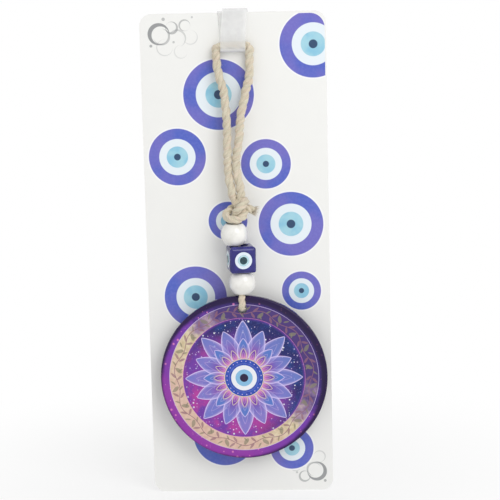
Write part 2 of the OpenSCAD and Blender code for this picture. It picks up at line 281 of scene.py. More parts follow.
# Twine: three plies of jute laid round each other
twine = {
    "pitch": 0.0118,         # m along the twine for one turn of its plies
    "plies": 3,
    "sides": 10,             # faces round each ply
    "step": 0.0004,          # m between rings
    "spread": 0.42,          # of the half width: how far out each ply's middle lies
    "plySize": 0.60,         # of the half width: each ply's own half width
    "wander": (0.35, 410, 0.16, 930),    # radians, per m, twice: how unevenly the plies turn
    "swell": (0.08, 520, 0.06, 1750),    # of the ply, per m, twice: how unevenly thick they are
    "fibreLean": 900,        # radians per m: how fast the fibres turn back against the plies
}
fuzz = {                     # loose fibres all along the twine
    "perMetre": 9000, "radius": 0.000028, "curl": 0.22, "root": 0.8,
    "length": 0.0018, "shortest": 0.25, "leanFrom": 0.5, "leanTo": 2.6,
}
fray = {                     # fibres that splay from the cut end
    "count": 260, "radius": 0.00007, "curl": 0.16, "root": 0.9, "back": 0.0006,
    "splay": 0.55, "scatter": 0.13, "shortest": 0.0009, "longest": 0.0023,
}
card = {
    "front": -0.0006, "printedTo": (0.0377, 0.1009), "printCorner": 0.0060,
    "inkTo": 0.00001, "edgeFrom": 0.00003,   # m behind the front: the ink ends, the bare cut edge begins
}
knot = {
    "centre": (0.0003, -0.0081, 0.0209), "reach": 0.0071, "twineRadius": 0.00172, "pitch": 0.0105,
    "otherSize": 0.9, "tailSize": 0.92, "tailOpens": 1.12,   # of the strand's: the other strand, the cut end
}
loop = {
    "runY": -0.00295, "runZ": 0.0882, "halfWidth": 0.0070, "bend": 0.0019, "endSpread": 0.00175,
    "radius": 0.00183, "play": 0.0003, "intoKnot": 0.0016, "length": 0.136,
    # Share of the way down, then of the way in from halfWidth to endSpread: left strand, right strand
    "route": [(0.04, 0.02, 0.03), (0.10, 0.05, 0.06), (0.16, 0.14, 0.08), (0.23, 0.29, 0.16),
              (0.30, 0.52, 0.40), (0.37, 0.61, 0.57), (0.43, 0.67, 0.79), (0.50, 0.70, 0.91),
              (0.57, 0.72, 0.98), (0.64, 0.72, 1.06), (0.71, 0.71, 1.23), (0.77, 0.71, 1.31),
              (0.84, 0.73, 1.30), (0.91, 0.81, 1.19), (0.95, 0.91, 1.07), (1.00, 1.00, 1.00)],
}


def juteGroup():
    tree, given, wanted = newGroup("juteFibres", [("Place", "Vector"), ("Light", "Color"), ("Warm", "Color"),
                                                  ("Dark", "Color")],
                                   [("Color", "Color"), ("Roughness", "Float"), ("Height", "Float")])

    def drawn(stretch, detail, rough):  # a noise drawn out along the ply, with the stretch per mm
        return noise(tree, vectors(tree, "MULTIPLY", given["Place"], stretch), 1.0, detail, rough)

    fine = drawn((7, 7, 0.55), 3.0, 0.6)
    strands = drawn((2.6, 2.6, 0.2), 1.0, 0.5)
    patches = drawn((0.5, 0.5, 0.22), 2.0, 0.5)
    colour = mixColour(tree, ease(tree, patches, 0.40, 0.66), given["Light"], given["Warm"])
    colour = mixColour(tree, ease(tree, fine, 0.52, 0.30, 0, 0.60), colour, given["Dark"])
    pale = times(tree, ease(tree, strands, 0.56, 0.75), 0.45)
    colour = mixColour(tree, pale, colour, (0.86, 0.82, 0.70))
    feedAll(tree, wanted, Color=colour, Roughness=ease(tree, fine, 0.2, 0.8, 0.72, 0.95),
            Height=maths(tree, "MULTIPLY_ADD", strands, 0.6, fine))
    return tree


def juteMaterial():
    material, tree, shader = newMaterial("juteTwine", Sheen_Weight=0.35, Sheen_Roughness=0.5,
                                         Specular_IOR_Level=0.25)
    place = node(tree, "Attribute", (), "Vector", attribute_name="fibres")
    look = useGroup(tree, juteFibres, {"Place": place, "Light": (0.665, 0.615, 0.475),
                                       "Warm": (0.72, 0.61, 0.48), "Dark": (0.37, 0.30, 0.21)})
    feedAll(tree, shader.inputs, Base_Color=look["Color"], Roughness=look["Roughness"],
            Normal=bump(tree, look["Height"], 0.55, 0.00012))
    return material


juteFibres = juteGroup()
jute = juteMaterial()


def ringFrames(route, side):  # along a route, two directions square to it that turn as little as they can
    along = unitRows(np.gradient(route, axis=0))
    sides = np.empty_like(route)
    side = np.asarray(side, float)
    for i, t in enumerate(along):
        side = side - np.dot(side, t) * t
        side = side / np.linalg.norm(side)
        sides[i] = side
    return along, sides, np.cross(along, sides)


def layTwine(route, sizes, side, phase=0.0, pitch=None):
    # Each ply's middle circles the route once a pitch, a little faster and slower as hand-laid twine does,
    # and its own ring is drawn round it in the plane square to the route.
    plies, sidesRound = twine["plies"], twine["sides"]
    along, across, out = ringFrames(route, side)
    gone = np.r_[0, np.cumsum(np.linalg.norm(np.diff(route, axis=0), axis=1))]
    ply = np.arange(plies)[:, None]
    turn = 2 * np.pi * (gone / (pitch or twine["pitch"]) + ply / plies) + phase
    slow, slowRate, quick, quickRate = twine["wander"]
    turn = turn + slow * np.sin(gone * slowRate + phase) + quick * np.sin(gone * quickRate + 1.9 * ply)
    slow, slowRate, quick, quickRate = twine["swell"]
    swell = (1 + slow * np.sin(gone * slowRate + 2.3 * ply)
             + quick * np.sin(gone * quickRate + 4.1 * ply + phase))
    wide, thick = sizes[:, 0], sizes[:, 1]
    middle = route + twine["spread"] * ((np.cos(turn) * wide)[..., None] * across
                                        + (np.sin(turn) * thick)[..., None] * out)
    a = 2 * np.pi * np.arange(sidesRound) / sidesRound
    ringX = twine["plySize"] * (swell * wide)[..., None, None] * np.cos(a)[:, None] * across[:, None]
    ringY = twine["plySize"] * (swell * thick)[..., None, None] * np.sin(a)[:, None] * out[:, None]
    verts = (middle[:, :, None] + ringX + ringY).reshape(-1, 3)
    # The fibres' own coordinates: round each ply and along it, in mm, so that they run against its twist
    lay = a - turn[..., None] - gone[:, None] * twine["fibreLean"]
    radius = 560 * wide[:, None] * np.ones_like(lay)
    length = 1000 * gone[:, None] + 37 * ply[..., None] + 5 * phase + np.zeros_like(lay)
    fibres = np.stack([np.cos(lay) * radius, np.sin(lay) * radius, length], -1).reshape(-1, 3)
    rings = len(route)
    index = np.arange(plies * rings * sidesRound).reshape(plies, rings, sidesRound)
    ahead = np.roll(index, -1, axis=2)
    walls = np.stack([index[:, :-1], ahead[:, :-1], ahead[:, 1:], index[:, 1:]], -1).reshape(-1, 4)
    caps = [c for k in range(plies) for c in (index[k, 0, ::-1].tolist(), index[k, -1].tolist())]
    return verts, walls.tolist() + caps, fibres


def layHairs(starts, ways, lengths, radius, curl, seed):
    # A hair is a bent line, start + way * t + curl * t squared, with small rings of points that shrink to
    # its tip.
    rings, sides = 4, 3
    rng = np.random.default_rng(seed)
    count = len(starts)
    t = np.linspace(0, 1, rings)[None, :, None]
    bend = rng.normal(0, curl, (count, 1, 3)) * lengths[:, None, None]
    line = starts[:, None] + ways[:, None] * lengths[:, None, None] * t + bend * t ** 2
    sideA = unitRows(np.cross(ways, rng.normal(0, 1, (count, 3))))
    sideB = np.cross(ways, sideA)
    a = 2 * np.pi * np.arange(sides) / sides
    size = radius * (1 - 0.75 * t)[..., None]
    ring = np.cos(a)[:, None] * sideA[:, None, None] + np.sin(a)[:, None] * sideB[:, None, None]
    verts = (line[:, :, None] + size * ring).reshape(-1, 3)
    index = np.arange(count * rings * sides).reshape(count, rings, sides)
    ahead = np.roll(index, -1, axis=2)
    walls = np.stack([index[:, :-1], ahead[:, :-1], ahead[:, 1:], index[:, 1:]], -1).reshape(-1, 4)
    ends = index[:, 0, ::-1].tolist() + index[:, -1].tolist()
    fibres = np.repeat(rng.uniform(0, 40, (count, 3)), rings * sides, axis=0)
    return verts, walls.tolist() + ends, fibres


def fuzzOn(route, sizes, side, seed):  # loose fibres that stand out all along a twine
    rng = np.random.default_rng(seed)
    length = np.linalg.norm(np.diff(route, axis=0), axis=1).sum()
    count = int(length * fuzz["perMetre"])
    row = rng.integers(0, len(route), count)
    along, across, out = ringFrames(route, side)
    a = rng.uniform(0, 2 * np.pi, count)
    radial = np.cos(a)[:, None] * across[row] + np.sin(a)[:, None] * out[row]
    half = (np.cos(a) ** 2 * sizes[row, 0] + np.sin(a) ** 2 * sizes[row, 1])[:, None]
    sense = rng.choice([-1, 1], count)[:, None]
    ways = unitRows(along[row] * sense * rng.uniform(fuzz["leanFrom"], fuzz["leanTo"], (count, 1)) + radial)
    lengths = fuzz["length"] * rng.uniform(fuzz["shortest"], 1, count) ** 1.5
    starts = route[row] + fuzz["root"] * half * radial
    return layHairs(starts, ways, lengths, fuzz["radius"], fuzz["curl"], seed + 1)


def joined(*parts):  # several (verts, faces, fibres) as one
    starts = np.cumsum([0] + [len(p[0]) for p in parts])
    faces = [[start + i for i in face] for start, part in zip(starts, parts) for face in part[1]]
    return np.vstack([p[0] for p in parts]), faces, np.vstack([p[2] for p in parts])


def plainSizes(route, radius):
    return np.full((len(route), 2), radius)


def loopRoute():  # part.scad's route in its own leaning plane, run on into the knot
    down = np.array([knot["centre"][1] - loop["runY"], knot["centre"][2] - loop["runZ"]])
    reach = np.linalg.norm(down)
    lean = math.atan2(-down[0], -down[1])
    length = reach - knot["reach"] - loop["play"]
    halves = []
    for side, column in ((-1, 1), (1, 2)):
        top, bottom = side * loop["halfWidth"], knot["centre"][0] + side * loop["endSpread"]
        arc = np.radians(90 - 22.5 * np.arange(5))
        bend = [(top + side * loop["bend"] * (c - 1), loop["bend"] * (s - 1))
                for c, s in zip(np.cos(arc), np.sin(arc))]
        sides = [(top + (bottom - top) * row[column], -row[0] * length) for row in loop["route"]]
        halves.append(bend + sides + [(bottom, -length - loop["intoKnot"])])
    flat = np.array(halves[0][::-1] + halves[1])
    return np.stack([flat[:, 0], loop["runY"] + flat[:, 1] * math.sin(lean),
                     loop["runZ"] + flat[:, 1] * math.cos(lean)], 1)


loopPath = smoothRoute(loopRoute(), twine["step"])


def makeLoop():
    sizes, side = plainSizes(loopPath, loop["radius"]), (0, 1, 0)
    verts, faces, fibres = joined(layTwine(loopPath, sizes, side, 0.4),
                                  fuzzOn(loopPath, sizes, side, 11 + len(loopPath)))
    return makeObject("loopTwine", verts, faces, jute, None, fibres)


loopTwine = makeLoop()
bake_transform(loopTwine)
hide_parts("twine_loop")
print("Twine loop laid:", round(float(np.linalg.norm(np.diff(loopPath, axis=0), axis=1).sum()), 4), "m")

# The overhand knot: one strand's route, then the other strand's two stubs and its cut end, in mm from
# the knot's middle
knotRoute = [
    (-1.25, 0.95, -5.2), (-1.1, 0.95, -4.5), (-0.8, 0.6, -3.6), (-0.7, 0.1, -2.6), (-0.6, -0.4, -1.7),
    (-0.6, -1.1, -0.8), (-0.3, -1.9, -0.1), (0.3, -2.5, 0.6), (1.1, -2.8, 1.4), (1.9, -2.7, 2.2),
    (2.7, -2.1, 2.9), (3.2, -1.3, 3.4), (3.5, -0.3, 3.8), (3.5, 0.8, 4.0), (3.3, 1.9, 3.8), (2.7, 2.9, 3.5),
    (1.9, 3.6, 3.0), (0.8, 4.0, 2.4), (-0.2, 4.0, 1.8), (-1.1, 3.6, 1.2), (-1.9, 2.9, 0.7), (-2.8, 2.1, 0.2),
    (-3.5, 1.3, -0.4), (-4.2, 0.5, -0.9), (-4.5, -0.4, -1.5), (-4.3, -1.3, -2.1), (-3.7, -2.1, -2.6),
    (-2.8, -2.8, -3.0), (-1.7, -3.3, -3.2), (-0.5, -3.5, -3.3), (0.8, -3.3, -3.1), (1.9, -2.9, -2.7),
    (2.7, -2.3, -2.0), (3.1, -1.5, -1.3), (3.1, -0.7, -0.5), (2.7, 0.0, 0.3), (1.9, 0.5, 1.0),
    (1.0, 0.7, 1.8), (0.2, 0.6, 2.7), (-0.6, 0.6, 3.7), (-1.3, 0.6, 4.8), (-1.7, 0.5, 6.2),
]
knotOther = [(1.7, 0.5, 6.2), (1.1, 0.4, 4.3), (0.5, 0.2, 2.7), (0.1, 0.0, 0.8), (-0.4, -0.6, -2.4),
             (-0.75, -1.1, -4.2), (-1.15, -0.95, -5.2)]
knotTail = [(0.4, 0.5, 1.6), (2.4, 0.5, 1.3), (4.4, 0.5, 0.8), (6.0, 0.4, 0.3), (7.2, 0.3, -0.1)]


def inKnot(points):
    return smoothRoute(np.array(points) / 1000 + np.array(knot["centre"]), twine["step"])


def frayedEnd(route, radius, seed):  # fibres at a cut end, which lean out more the further out they start
    rng = np.random.default_rng(seed)
    count = fray["count"]
    along, across, out = ringFrames(route, (0, 0, 1))
    a, far = rng.uniform(0, 2 * np.pi, count), np.sqrt(rng.uniform(0, 1, count))
    radial = np.cos(a)[:, None] * across[-1] + np.sin(a)[:, None] * out[-1]
    starts = route[-1] - along[-1] * fray["back"] + radial * (radius * fray["root"] * far)[:, None]
    scatter = rng.normal(0, fray["scatter"], (count, 3))
    ways = unitRows(along[-1] + radial * (fray["splay"] * far)[:, None] + scatter)
    lengths = rng.uniform(fray["shortest"], fray["longest"], count)
    return layHairs(starts, ways, lengths, fray["radius"], fray["curl"], seed + 1)


def makeKnot():
    radius = knot["twineRadius"]
    strand, other, tail = inKnot(knotRoute), inKnot(knotOther), inKnot(knotTail)
    opening = np.linspace(1, knot["tailOpens"], len(tail))[:, None]
    layers = []
    for route, sizes, side, seed in (
            (strand, plainSizes(strand, radius), (1, 0, 0), 41),
            (other, plainSizes(other, radius * knot["otherSize"]), (1, 0, 0), 51),
            (tail, plainSizes(tail, radius * knot["tailSize"]) * opening, (0, 0, 1), 61)):
        layers.append(layTwine(route, sizes, side, seed * 0.7, knot["pitch"]))
        layers.append(fuzzOn(route, sizes, side, seed))
    layers.append(frayedEnd(tail, radius, 71))
    verts, faces, fibres = joined(*layers)
    piece = makeObject("knotTwine", verts, faces, jute, "knot", fibres)
    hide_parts("loop_knot")


makeKnot()
print("Knot tied")

# The doubled strand through the beads and its bight through the disc's hole
stem = {
    "x": 0.0016, "y": -0.0081, "discTop": -0.0147, "hole": -0.0202, "apart": 0.0012,
    "half": 0.00112, "pressed": 0.00265, "pitch": 0.0085,
    "bend": 0.0011, "bightWide": 0.00145, "bightThick": 0.0008, "bottomWide": 0.0014, "bottomThick": 0.00105,
    "inBeads": [(-0.0021, 0.0171), (-0.00135, 0.00665), (0.0, 0.0009), (0.0, -0.0094)],   # m: aside, z
    "belowBeads": [(1.25, 4.4, 1.15, 1.15), (1.4, 2.4, 1.2, 1.15), (2.05, 0.9, 1.3, 0.95),
                   (2.55, -0.4, 1.4, 0.85)],   # mm: out, up from the disc's top, half width, half thickness
}


def stemSide(side):  # one strand's rows of x, y, z, half width and half thickness, ending in a quarter bend
    mm, wide, thick = 0.001, stem["bightWide"], stem["bightThick"]
    rows = [(x, side * stem["apart"], z, stem["half"], stem["half"]) for x, z in stem["inBeads"]]
    rows += [(0, side * out * mm, stem["discTop"] + up * mm, halfWide * mm, halfThick * mm)
             for out, up, halfWide, halfThick in stem["belowBeads"]]
    rows.append((0, side * stem["pressed"], stem["discTop"] - 1.8 * mm, wide, thick))
    for i in range(1, 5):
        a = math.radians(22.5 * i)
        rows.append((0, side * (stem["pressed"] - stem["bend"] * (1 - math.cos(a))),
                     stem["hole"] + stem["bend"] * (1 - math.sin(a)), wide, thick + 0.04 * mm * i))
    return rows


def makeStem():
    bottom = (0, 0, stem["hole"], stem["bottomWide"], stem["bottomThick"])
    rows = np.array(stemSide(-1) + [bottom] + stemSide(1)[::-1])
    rows[:, :2] += stem["x"], stem["y"]
    rows = smoothRoute(rows, twine["step"] * 0.8)
    route, sizes = rows[:, :3], rows[:, 3:]
    verts, faces, fibres = joined(layTwine(route, sizes, (1, 0, 0), 1.1, stem["pitch"]),
                                  fuzzOn(route, sizes, (1, 0, 0), 91))
    piece = makeObject("stemTwine", verts, faces, jute, "stem", fibres)
    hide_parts("twine_stem")


makeStem()
print("Stem laid")


# Finishes of the card, the strap, the beads and the disc
def paperGroup():  # coated board: fine pulp, faint clouding
    tree, given, wanted = newGroup("boardGrain", [("Place", "Vector"), ("Tint", "Color")],
                                   [("Color", "Color"), ("Roughness", "Float"), ("Height", "Float")])
    fine = noise(tree, given["Place"], 2600.0, 3.0, 0.6)
    cloud = noise(tree, given["Place"], 90.0, 3.0, 0.5)
    colour = mixColour(tree, ease(tree, cloud, 0.35, 0.7, 0.0, 0.10), given["Tint"], (0.80, 0.80, 0.78))
    colour = mixColour(tree, ease(tree, fine, 0.6, 0.8, 0.0, 0.08), colour, (0.70, 0.68, 0.64))
    feedAll(tree, wanted, Color=colour, Roughness=ease(tree, fine, 0.2, 0.8, 0.38, 0.52), Height=fine)
    return tree


def printedEyeGroup():
    # Rings by distance from the eye's middle: pale margin, blue ring, white, light blue, pupil. The blue
    # drifts to violet with a slow noise.
    tree, given, wanted = newGroup(
        "printedEye", [("Place", "Vector"), ("Under", "Color"), ("Middle", "Vector"), ("Ring", "Float"),
                       ("White", "Float"), ("Light", "Float"), ("Pupil", "Float")], [("Color", "Color")])
    away = vectors(tree, "DISTANCE", given["Place"], given["Middle"])
    drift = noise(tree, given["Place"], 55.0, 2.0, 0.5)
    fine = noise(tree, given["Place"], 900.0, 2.0, 0.5)
    blue = mixColour(tree, ease(tree, drift, 0.38, 0.62), (0.070, 0.115, 0.530), (0.155, 0.140, 0.530))
    blue = mixColour(tree, ease(tree, fine, 0.35, 0.7, 0, 0.10), blue, (0.30, 0.33, 0.75))
    light = mixColour(tree, ease(tree, noise(tree, given["Place"], 160.0, 2.0, 0.5), 0.35, 0.65),
                      (0.25, 0.56, 0.74), (0.37, 0.66, 0.77))
    soft, margin = 0.00012, 0.0006

    def inside(radius):
        return ease(tree, minus(tree, radius, away), -soft, soft)

    pale = times(tree, inside(maths(tree, "ADD", given["Ring"], margin)), 0.7)
    colour = mixColour(tree, pale, given["Under"], (0.96, 0.95, 0.97))
    for part, tint in (("Ring", blue), ("White", (0.80, 0.87, 0.92)), ("Light", light),
                       ("Pupil", (0.014, 0.054, 0.135))):
        colour = mixColour(tree, inside(given[part]), colour, tint)
    feed(tree, wanted["Color"], colour)
    return tree


def curlGroup():
    # A crescent: inside one circle and outside another one a little to the side of it.
    tree, given, wanted = newGroup(
        "greyCurl", [("Place", "Vector"), ("Under", "Color"), ("Middle", "Vector"), ("Radius", "Float"),
                     ("Shift", "Vector"), ("Line", "Float"), ("Strength", "Float")], [("Color", "Color")])
    soft = 0.0001
    away = vectors(tree, "DISTANCE", given["Place"], given["Middle"])
    inner = vectors(tree, "DISTANCE", given["Place"], vectors(tree, "ADD", given["Middle"], given["Shift"]))
    outerEdge = ease(tree, minus(tree, given["Radius"], away), -soft, soft)
    innerRadius = minus(tree, given["Radius"], given["Line"])
    innerEdge = ease(tree, minus(tree, inner, innerRadius), -soft, soft)
    mask = times(tree, times(tree, outerEdge, innerEdge), given["Strength"])
    feed(tree, wanted["Color"], mixColour(tree, mask, given["Under"], (0.16, 0.17, 0.18)))
    return tree


boardGrain, printedEye, greyCurl = paperGroup(), printedEyeGroup(), curlGroup()

printedEyes = {           # m: blue ring, white, light blue, pupil
    "eyeTopRight": (0.0138, 0.00875, 0.00507, 0.0018),
    "eyeBehindLoop": (0.0146, 0.0094, 0.0054, 0.0019),
    "eyeLeft": (0.01185, 0.00755, 0.00445, 0.0014),
    "eyeMiddleRight": (0.01035, 0.0067, 0.00395, 0.0013),
    "eyeBesideKnot": (0.0135, 0.00855, 0.00515, 0.0018),
    "eyeBehindKnot": (0.0081, 0.0050, 0.0030, 0.0011),
    "eyeLeftOfBeads": (0.0131, 0.00815, 0.00505, 0.0017),
    "eyeRightOfBeads": (0.0082, 0.0053, 0.0032, 0.0011),
    "eyeBehindDisc": (0.0134, 0.0085, 0.0051, 0.0018),
    "eyeBottomRight": (0.0092, 0.00565, 0.00335, 0.00125),
}
# In mm from the group's middle: x, z, radius, the inner circle's shift in x and z, line, strength
curls = {
    "curlsTopLeft": [(-3.5, 0.0, 4.5, 0.75, -0.5, 0.85, 0.80), (-2.2, -1.2, 3.4, -0.5, 0.4, 0.35, 0.45),
                     (2.0, 2.4, 2.6, -0.35, 0.3, 0.5, 0.55), (4.2, -1.8, 3.6, -0.3, -0.4, 0.25, 0.34),
                     (-1.2, -5.6, 3.4, 0.2, 0.2, 0.2, 0.26), (7.2, 3.4, 2.4, 0.3, -0.2, 0.35, 0.50),
                     (9.6, -1.6, 3.0, -0.2, 0.25, 0.2, 0.22), (5.4, -7.4, 2.8, 0.25, 0.2, 0.2, 0.20),
                     (-6.8, -4.8, 0.6, 0, 0, 0.6, 0.62), (-1.4, 6.0, 0.7, 0, 0, 0.7, 0.50),
                     (10.4, 6.6, 0.45, 0, 0, 0.45, 0.40), (2.6, -3.4, 0.5, 0, 0, 0.5, 0.45)],
    "curlsBottomRight": [(2.6, -1.4, 4.2, -0.7, 0.45, 0.8, 0.78), (1.2, -0.4, 3.1, 0.45, -0.35, 0.3, 0.42),
                         (-2.8, -3.6, 2.5, 0.3, 0.25, 0.5, 0.52), (-2.2, 3.4, 3.2, 0.3, -0.3, 0.25, 0.32),
                         (3.8, 5.2, 2.6, -0.25, -0.2, 0.25, 0.30), (-6.6, 0.8, 2.2, 0.2, 0.25, 0.2, 0.24),
                         (6.0, -5.6, 0.6, 0, 0, 0.6, 0.58), (-6.0, -1.8, 0.45, 0, 0, 0.45, 0.42),
                         (0.6, 6.4, 0.5, 0, 0, 0.5, 0.36)],
}
cardTree = seenTree("backing_card")
eyeMiddles = {name: placeAtPixel(cardTree, *imagePoints[name]) for name in printedEyes}
curlMiddles = {name: placeAtPixel(cardTree, *imagePoints[name]) for name in curls}


def cardMaterial():
    material, tree, shader = newMaterial("printedCard", Coat_Weight=0.18, Coat_Roughness=0.25)
    place = objectPlace(tree)
    flat = vectors(tree, "MULTIPLY", place, (1, 0, 1))
    deep = apart(tree, place)["Y"]
    board = useGroup(tree, boardGrain, {"Place": place, "Tint": (0.875, 0.875, 0.850)})
    colour = board["Color"]
    for name, rows in curls.items():
        middle = curlMiddles[name]
        for x, z, radius, shiftX, shiftZ, line, strength in rows:
            colour = useGroup(tree, greyCurl, {
                "Place": flat, "Under": colour, "Middle": (middle.x + x / 1000, 0, middle.z + z / 1000),
                "Radius": radius / 1000, "Shift": (shiftX / 1000, 0, shiftZ / 1000), "Line": line / 1000,
                "Strength": strength})["Color"]
    for name, (ring, white, light, pupil) in printedEyes.items():
        middle = eyeMiddles[name]
        colour = useGroup(tree, printedEye, {
            "Place": flat, "Under": colour, "Middle": (middle.x, 0, middle.z), "Ring": ring, "White": white,
            "Light": light, "Pupil": pupil})["Color"]

    # The print stops short of the card's right and top edges, with a round corner of its own.
    corner = card["printCorner"]
    cornerMiddle = (card["printedTo"][0] - corner, 0, card["printedTo"][1] - corner)
    past = vectors(tree, "MAXIMUM", vectors(tree, "SUBTRACT", flat, cornerMiddle), (0, 0, 0))
    printed = times(tree, maths(tree, "LESS_THAN", deep, card["front"] + card["inkTo"]),
                    maths(tree, "LESS_THAN", vectors(tree, "LENGTH", past), corner))
    colour = mixColour(tree, printed, board["Color"], colour)
    edge = times(tree, maths(tree, "GREATER_THAN", deep, card["front"] + card["edgeFrom"]),
                 maths(tree, "LESS_THAN", deep, -card["edgeFrom"]))
    colour = mixColour(tree, times(tree, edge, 0.6), colour, (0.66, 0.64, 0.59))
    feedAll(tree, shader.inputs, Base_Color=colour, Roughness=board["Roughness"],
            Normal=bump(tree, board["Height"], 0.12, 0.00003))
    return material


def dress(nodeName, material):
    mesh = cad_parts[nodeName].data
    mesh.materials.clear()
    mesh.materials.append(material)


dress("backing_card", cardMaterial())
print("Card printed:", len(printedEyes), "eyes")


strap = {
    # On the next line, the last pair sets the band along the film's edges that gets painted shade.
    "halfWidth": 0.0051, "skew": 0.0011, "skewTop": 0.1018, "skewTurn": 0.0882, "edgeShade": (0.0005, 0.0001),
    "innerFrom": -0.0011, "innerTo": 0.00039, "behindFrom": -0.0003,   # m in y: where each layer lies
    # On the next line, the first three set the band round the turn that is painted whiter, as painted light
    # against its shade, and how much milkier it is made there.
    "turnLightFrom": 0.0864, "turnLightTo": 0.0877, "turnMilk": 0.42, "edgeMilk": 0.12, "shadeKept": 0.08,
}


def strapMaterial():  # thin milky film with faint draw lines along it and painted shade along its edges
    material, tree, shader = newMaterial("strapFilm", Coat_Weight=0.3, Coat_Roughness=0.12, IOR=1.45)
    place = objectPlace(tree)
    x, y, z = apart(tree, place)

    # The strip runs askew: its middle is skew * sense * share aside, sense -1 for the layer next to the
    # card and 1 for the other, share 0 at the turn, 1 over the card's edge and more behind the card.
    nextToCard = times(tree, maths(tree, "GREATER_THAN", y, strap["innerFrom"]),
                       maths(tree, "LESS_THAN", y, strap["innerTo"]))
    sense = maths(tree, "MULTIPLY_ADD", nextToCard, -2.0, 1.0)
    behind = maths(tree, "GREATER_THAN", y, strap["behindFrom"])
    below = maths(tree, "DIVIDE", minus(tree, z, strap["skewTop"]), strap["skewTop"] - strap["skewTurn"])
    share = maths(tree, "MULTIPLY_ADD", below, maths(tree, "MULTIPLY_ADD", behind, -2.0, 1.0), 1.0)
    middle = times(tree, times(tree, share, sense), strap["skew"])
    across = maths(tree, "ABSOLUTE", minus(tree, x, middle))
    edge = ease(tree, across, *(strap["halfWidth"] - inwards for inwards in strap["edgeShade"]))
    drawn = noise(tree, vectors(tree, "MULTIPLY", place, (2600, 160, 60)), 1.0, 2.0, 0.5)
    haze = noise(tree, place, 320.0, 3.0, 0.55)
    colour = mixColour(tree, ease(tree, haze, 0.35, 0.7), (0.85, 0.85, 0.85), (0.88, 0.88, 0.88))
    # Painted shade: the film is darker along both edges, standing for the thin shadows its edges throw.
    colour = mixColour(tree, times(tree, edge, 0.5), colour, (0.74, 0.74, 0.74))

    # Round its turn the film is painted whiter, painted light against the shade on its down-facing underside,
    # and made less clear.
    paintedTurnLight = ease(tree, z, strap["turnLightTo"], strap["turnLightFrom"])
    colour = mixColour(tree, paintedTurnLight, colour, (0.95, 0.95, 0.95))

    # Milky film lets most light on through it, scattered, so it throws little shade.
    milk = maths(tree, "MULTIPLY_ADD", edge, strap["edgeMilk"], ease(tree, haze, 0.3, 0.7, 0.34, 0.37))
    milk = maths(tree, "MULTIPLY_ADD", paintedTurnLight, strap["turnMilk"], milk)
    shadow = node(tree, "LightPath", (), "Is Shadow Ray")
    lit = maths(tree, "MULTIPLY_ADD", shadow, strap["shadeKept"] - 1, 1.0)
    feedAll(tree, shader.inputs, Base_Color=colour, Roughness=ease(tree, haze, 0.3, 0.7, 0.28, 0.42),
            Alpha=times(tree, milk, lit), Normal=bump(tree, drawn, 0.10, 0.00005))
    return material


dress("hang_strap", strapMaterial())


def glazeGroup():  # the slow unevenness and small pits of a glazed or moulded surface
    tree, given, wanted = newGroup("glaze", [("Place", "Vector"), ("Low", "Color"), ("High", "Color"),
                                             ("Swirl", "Float")],
                                   [("Color", "Color"), ("Roughness", "Float"), ("Height", "Float")])
    slow = noise(tree, given["Place"], given["Swirl"], 3.0, 0.55)
    fine = noise(tree, given["Place"], 2400.0, 2.0, 0.6)
    pits = node(tree, "TexVoronoi", {"Vector": given["Place"], "Scale": 900.0}, "Distance")
    pit = ease(tree, pits, 0.06, 0.16)
    colour = mixColour(tree, ease(tree, slow, 0.32, 0.68), given["Low"], given["High"])
    colour = mixColour(tree, ease(tree, pit, 0.0, 1.0, 0.22, 0.0), colour, given["Low"], "MULTIPLY")
    feedAll(tree, wanted, Color=colour, Roughness=ease(tree, fine, 0.3, 0.75, 0.10, 0.24),
            Height=maths(tree, "ADD", slow, times(tree, pit, 0.25)))
    return tree


glaze = glazeGroup()


def glazedMaterial(name, low, high, swirl, strength=0.12, coat=0.5, coatRoughness=0.08, gloss=0.5):
    material, tree, shader = newMaterial(name, Coat_Weight=coat, Coat_Roughness=coatRoughness,
                                         Specular_IOR_Level=gloss)
    look = useGroup(tree, glaze, {"Place": objectPlace(tree), "Low": low, "High": high, "Swirl": swirl})
    feedAll(tree, shader.inputs, Base_Color=look["Color"], Roughness=look["Roughness"],
            Normal=bump(tree, look["Height"], strength, 0.0002))
    return material


beadFinishes = {          # low colour, high colour, swirl scale, bump, coat, coat roughness, gloss
    "whiteBead": ((0.80, 0.79, 0.74), (0.90, 0.89, 0.85), 260.0, 0.10, 0.35, 0.22, 0.5),
    "indigoBead": ((0.019, 0.018, 0.148), (0.034, 0.031, 0.222), 320.0, 0.10, 0.40, 0.13, 0.2),
    "eyeWhite": ((0.72, 0.81, 0.90), (0.80, 0.87, 0.94), 700.0, 0.06, 0.4, 0.10, 0.4),
    "eyeBlue": ((0.38, 0.64, 0.72), (0.56, 0.78, 0.83), 900.0, 0.06, 0.4, 0.10, 0.4),
    "eyePupil": ((0.010, 0.042, 0.056), (0.026, 0.078, 0.095), 900.0, 0.06, 0.4, 0.10, 0.3),
}
finished = {name: glazedMaterial(name, *values) for name, values in beadFinishes.items()}
for bead in ("upper_bead", "lower_bead"):
    dress(bead, finished["whiteBead"])
dress("cube_bead", finished["indigoBead"])
for side in ("front", "right", "back", "left"):
    for layer in ("White", "Blue", "Pupil"):
        dress(f"eye_{layer.lower()}_{side}", finished["eye" + layer])
print("Beads glazed")

# The disc's print: a traditional blue eye in a rosette on a starry ground, in mm from the disc's middle
disc = {
    "middle": (0.0016, 0.0, -0.0497),    # m, in the shared frame
    "front": -0.0097, "holePixels": 6,   # m in y, and how far round the hole its edge is looked for
    "rosyWay": (-0.018, -0.021, 0.0),    # per mm: the ground turns rosy down to the left
    "band": 25.6, "bandTo": 31.3, "vine": 28.4, "vineWaves": 11, "darkFrom": 31.6, "rimTo": 34.6,
    "dots": 24, "dotsAt": 7.2, "dotSize": 0.20, "dotLine": 6.15,
}


